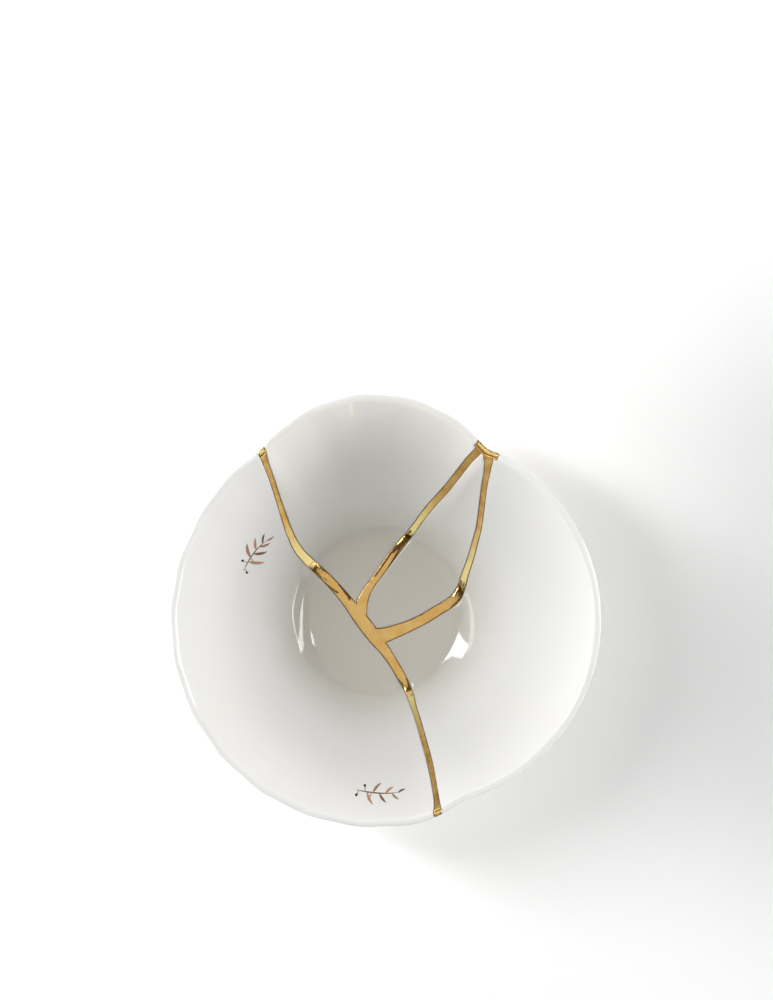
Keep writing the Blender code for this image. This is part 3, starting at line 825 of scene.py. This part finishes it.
def brushed(start, bend, end, width, tone):
    """One stroke of the brush: a curve with a width that swells and tapers, and how dark its paint is."""
    part = np.linspace(0.0, 1.0, STROKE_STEPS)[:, None]
    start, bend, end = (np.array(point, float) for point in (start, bend, end))
    middle = start * (1 - part) ** 2 + bend * 2 * part * (1 - part) + end * part**2
    ahead = np.gradient(middle, axis=0)
    ahead /= np.linalg.norm(ahead, axis=1, keepdims=True)
    aside = np.stack([-ahead[:, 1], ahead[:, 0]], axis=1)
    half = width / 2 * np.sin(np.pi * np.clip(part**0.85, 0.02, 0.98)) ** 0.7
    return np.concatenate([middle - aside * half, middle, middle + aside * half]), tone


def twig(length, curl, leaves, leaf_length, berries):
    """A stem with leaves to both sides and berries on short stalks, in millimetres about its middle."""
    start, end = np.array([-length / 2, -length * 0.10]), np.array([length / 2, length * 0.06])
    bend = np.array([0.0, curl])
    strokes = [brushed(start, bend, end, 0.50, 0.62)]

    def on_stem(part):
        return start * (1 - part) ** 2 + bend * 2 * part * (1 - part) + end * part**2

    for number in range(leaves):
        foot = on_stem(0.26 + 0.70 * number / max(leaves - 1, 1))
        side = 1 if number % 2 else -1
        turn = math.radians(side * (56 - 6 * number) + 8)
        reach = leaf_length * (1.0 - 0.07 * number)
        ahead = np.array([math.cos(turn), math.sin(turn)])
        aside = np.array([-math.sin(turn), math.cos(turn)])
        tip = foot + ahead * reach
        swing = (foot + tip) / 2 + aside * side * reach * 0.16
        strokes.append(brushed(foot, swing, tip, reach * 0.21, 0.12 + 0.5 * (number % 3) / 2))
        shade = swing - aside * side * reach * 0.05
        strokes.append(brushed(foot + ahead * 0.3, shade, foot + ahead * reach * 0.78, 0.42, 0.95))
    for number in range(berries):
        foot = on_stem(0.06 + 0.15 * number)
        side = 1 if number % 2 else -1
        spot = foot + np.array([-0.5, side * (1.9 + 0.4 * number)])
        strokes.append(brushed(foot, (foot + spot) / 2 + (0.3, 0.0), spot, 0.34, 0.70))
        strokes.append(brushed(spot - (0.60, 0.15), spot, spot + (0.60, 0.15), 1.15, 1.25))
    return strokes


enamel = bpy.data.materials.new("brown_enamel")
enamel.use_nodes = True
tree = enamel.node_tree
shader = tree.nodes["Principled BSDF"]
place = tree.nodes.new("ShaderNodeTexCoord").outputs["Object"]
streaks = shader_step(tree, "ShaderNodeTexNoise", {}, Vector=place, Scale=1500.0, Detail=3.0).outputs[0]
tone = uneven(tree, streaks, 0.9, attribute_value(tree, "tone"))
light_brown = (0.46, 0.25, 0.15, 1.0)
dark_brown = (0.035, 0.014, 0.010, 1.0)
paint = mixed_colours(tree, soft_mask(tree, tone, 0.0, 1.0), light_brown, dark_brown)
tree.links.new(paint, shader.inputs["Base Color"])
tree.links.new(math_step(tree, "MULTIPLY_ADD", streaks, 0.2, 0.15), shader.inputs["Roughness"])
streak_bump = shader_step(tree, "ShaderNodeBump", {}, Height=streaks, Distance=0.00001, Strength=0.6)
tree.links.new(streak_bump.outputs[0], shader.inputs["Normal"])

for name, spot, turn, strokes in (
    ("left_sprig", (156.3, 1.494), 44.0, twig(18.0, 2.4, 7, 7.2, 3)),
    ("front_sprig", (268.0, 1.777), -12.0, twig(20.0, -2.2, 6, 5.6, 3)),
):
    centre = inside_plan(*spot)
    way, aside = direction(turn), direction(turn + 90.0)
    outlines = np.concatenate([points for points, _ in strokes]) / 1000.0
    plan = centre + outlines[:, :1] * way + outlines[:, 1:] * aside
    angle, share = place_on_inside(plan)
    faces = []
    for number in range(len(strokes)):
        first = number * 3 * STROKE_STEPS
        for row in (0, 1):
            for step in range(STROKE_STEPS - 1):
                here = first + row * STROKE_STEPS + step
                faces.append((here, here + 1, here + 1 + STROKE_STEPS, here + STROKE_STEPS))
    mesh = bpy.data.meshes.new(name)
    mesh.from_pydata(np.column_stack([plan, np.zeros(len(plan))]).tolist(), [], faces)
    outward = inside_plan(angle, 2.0) - inside_plan(angle, 1.0)
    outward /= np.linalg.norm(outward, axis=1, keepdims=True)
    tones = np.repeat([tone for _, tone in strokes], 3 * STROKE_STEPS)
    for title, values in (
        ("share", share), ("run", wall_run(angle)), ("softness", floor_softness(angle)),
        ("edge", np.ones(len(plan))), ("sheet", np.zeros(len(plan))), ("crease", crease_height(angle, share)),
        ("outward_x", outward[:, 0]), ("outward_y", outward[:, 1]), ("tone", tones),
    ):
        mesh.attributes.new(title, "FLOAT", "POINT").data.foreach_set("value", values.astype(np.float32))
    sprig = after_nodes(name, mesh, press, {"Material": enamel, "Set Back": -PAINT_HEIGHT})
    skin = sprig.modifiers.new("paint_thickness", "SOLIDIFY")
    skin.thickness = PAINT_THICKNESS
    skin.offset = -1.0
    bpy.context.view_layer.update()
    solid = bpy.data.meshes.new_from_object(sprig.evaluated_get(bpy.context.evaluated_depsgraph_get()))
    sprig.modifiers.remove(skin)
    sprig.data = solid
    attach(sprig, "root")

# Studio
# A plain pale table inside a low lit band of paper. Soft lamps stand about the plate: low ones to both
# sides, a tall bright one like a window at the left, a slanting strip at the right and a panel above.
table_mesh = bpy.data.meshes.new("table")
half = 3.0
table_corners = [(-half, -half, 0), (half, -half, 0), (half, half, 0), (-half, half, 0)]
table_mesh.from_pydata(table_corners, [], [(0, 1, 2, 3)])
table = bpy.data.objects.new("table", table_mesh)
bpy.context.scene.collection.objects.link(table)
pale = bpy.data.materials.new("pale_table")
pale.use_nodes = True
tree = pale.node_tree
shader = tree.nodes["Principled BSDF"]
place = tree.nodes.new("ShaderNodeTexCoord").outputs["Object"]
flecks = shader_step(tree, "ShaderNodeTexNoise", {}, Vector=place, Scale=900.0, Detail=3.0).outputs[0]
paper = mixed_colours(tree, flecks, (0.95, 0.95, 0.95, 1.0), (0.97, 0.97, 0.97, 1.0))
tree.links.new(paper, shader.inputs["Base Color"])
shader.inputs["Roughness"].default_value = 0.9
shader.inputs["Emission Color"].default_value = (1.0, 1.0, 1.0, 1.0)
shader.inputs["Emission Strength"].default_value = 0.03
table_mesh.materials.append(pale)


def soft_lamp(name, place, width, depth, power, along=None):
    """A flat lamp that faces the plate; its width lies along a given way, or else level."""
    lamp = bpy.data.objects.new(name, bpy.data.lights.new(name, "AREA"))
    lamp.data.shape = "RECTANGLE"
    lamp.data.size = width
    lamp.data.size_y = depth
    lamp.data.energy = power
    lamp.location = place
    back = Vector(place).normalized()
    width_way = Vector(along) if along else Vector((0.0, 0.0, 1.0)).cross(back)
    depth_way = back.cross(width_way).normalized()
    lamp.rotation_euler = Matrix((depth_way.cross(back), depth_way, back)).transposed().to_euler()
    bpy.context.scene.collection.objects.link(lamp)
    return lamp


SURROUND_RADIUS = 2.9
SURROUND_TOP = 0.80
SURROUND_STEPS = 96
around = [direction(360.0 * step / SURROUND_STEPS) * SURROUND_RADIUS for step in range(SURROUND_STEPS)]
corners = [(*spot, level) for level in (0.0, SURROUND_TOP) for spot in around]
panels = []
for step in range(SURROUND_STEPS):
    after = (step + 1) % SURROUND_STEPS
    panels.append((step, SURROUND_STEPS + step, SURROUND_STEPS + after, after))
surround_mesh = bpy.data.meshes.new("surround")
surround_mesh.from_pydata(corners, [], panels)
surround = bpy.data.objects.new("surround", surround_mesh)
bpy.context.scene.collection.objects.link(surround)
lit_paper = bpy.data.materials.new("lit_paper")
lit_paper.use_nodes = True
shader = lit_paper.node_tree.nodes["Principled BSDF"]
shader.inputs["Emission Color"].default_value = (1.0, 0.97, 0.92, 1.0)
shader.inputs["Emission Strength"].default_value = 0.70
surround_mesh.materials.append(lit_paper)

soft_lamp("left_low_lamp", (-1.2, 0.05, 0.38), 0.9, 0.6, 6.7)
soft_lamp("left_card", (-0.98, -0.05, 0.80), 0.5, 0.5, 0.6)
soft_lamp("front_left_card", (-0.50, -0.86, 0.80), 0.6, 0.5, 0.7)
soft_lamp("window_lamp", (-0.717, 0.319, 0.84), 0.16, 0.72, 6.6)
soft_lamp("back_left_lamp", (-0.72, 0.72, 0.80), 0.8, 0.6, 0.9)
soft_lamp("back_lamp", (0.0, 1.02, 0.80), 0.8, 0.6, 1.2)
soft_lamp("right_low_lamp", (1.23, 0.0, 0.42), 0.9, 0.4, 10.5)
soft_lamp("right_strip_lamp", (0.70, 0.115, 0.705), 0.84, 0.11, 2.5, (0.69, 0.52, -0.65))
soft_lamp("front_right_strip_lamp", (0.764, -0.459, 0.80), 0.14, 0.62, 0.6)
soft_lamp("small_lamp", (0.28, 0.03, 1.11), 0.07, 0.018, 0.09, (0.76, 0.65, 0.0))
soft_lamp("ceiling_panel", (0.0, 0.05, 2.6), 1.3, 1.3, 4.2)

# A low flag of dark cloth, out of the picture, keeps the right lamp's light off the table by the plate
FLAG_PLACE = (0.36, 0.0, 0.058)
FLAG_SIZE = (0.004, 0.30, 0.112)
bpy.ops.mesh.primitive_cube_add(size=1.0, location=FLAG_PLACE)
flag = bpy.context.object
flag.name = "table_flag"
flag.scale = FLAG_SIZE
flag.visible_camera = False
cloth = bpy.data.materials.new("dark_cloth")
cloth.use_nodes = True
tree = cloth.node_tree
place = tree.nodes.new("ShaderNodeTexCoord").outputs["Object"]
weave = shader_step(tree, "ShaderNodeTexNoise", {}, Vector=place, Scale=400.0, Detail=2.0).outputs[0]
tree.links.new(
    mixed_colours(tree, weave, (0.02, 0.02, 0.02, 1.0), (0.05, 0.05, 0.05, 1.0)),
    tree.nodes["Principled BSDF"].inputs["Base Color"],
)
flag.data.materials.append(cloth)

LOW_CARD_DISTANCE = 1.27
for number, turn in enumerate((-31.0, -106.0, -164.0, 109.0), 1):
    way = direction(turn) * LOW_CARD_DISTANCE
    soft_lamp("low_card_" + str(number), (*way, 0.26), 0.40, 0.26, 0.85)
world = bpy.data.worlds.new("studio")
bpy.context.scene.world = world
world.use_nodes = True
world.node_tree.nodes["Background"].inputs["Color"].default_value = (1.0, 1.0, 1.0, 1.0)
world.node_tree.nodes["Background"].inputs["Strength"].default_value = 0.02
bpy.context.scene.view_settings.view_transform = "Standard"
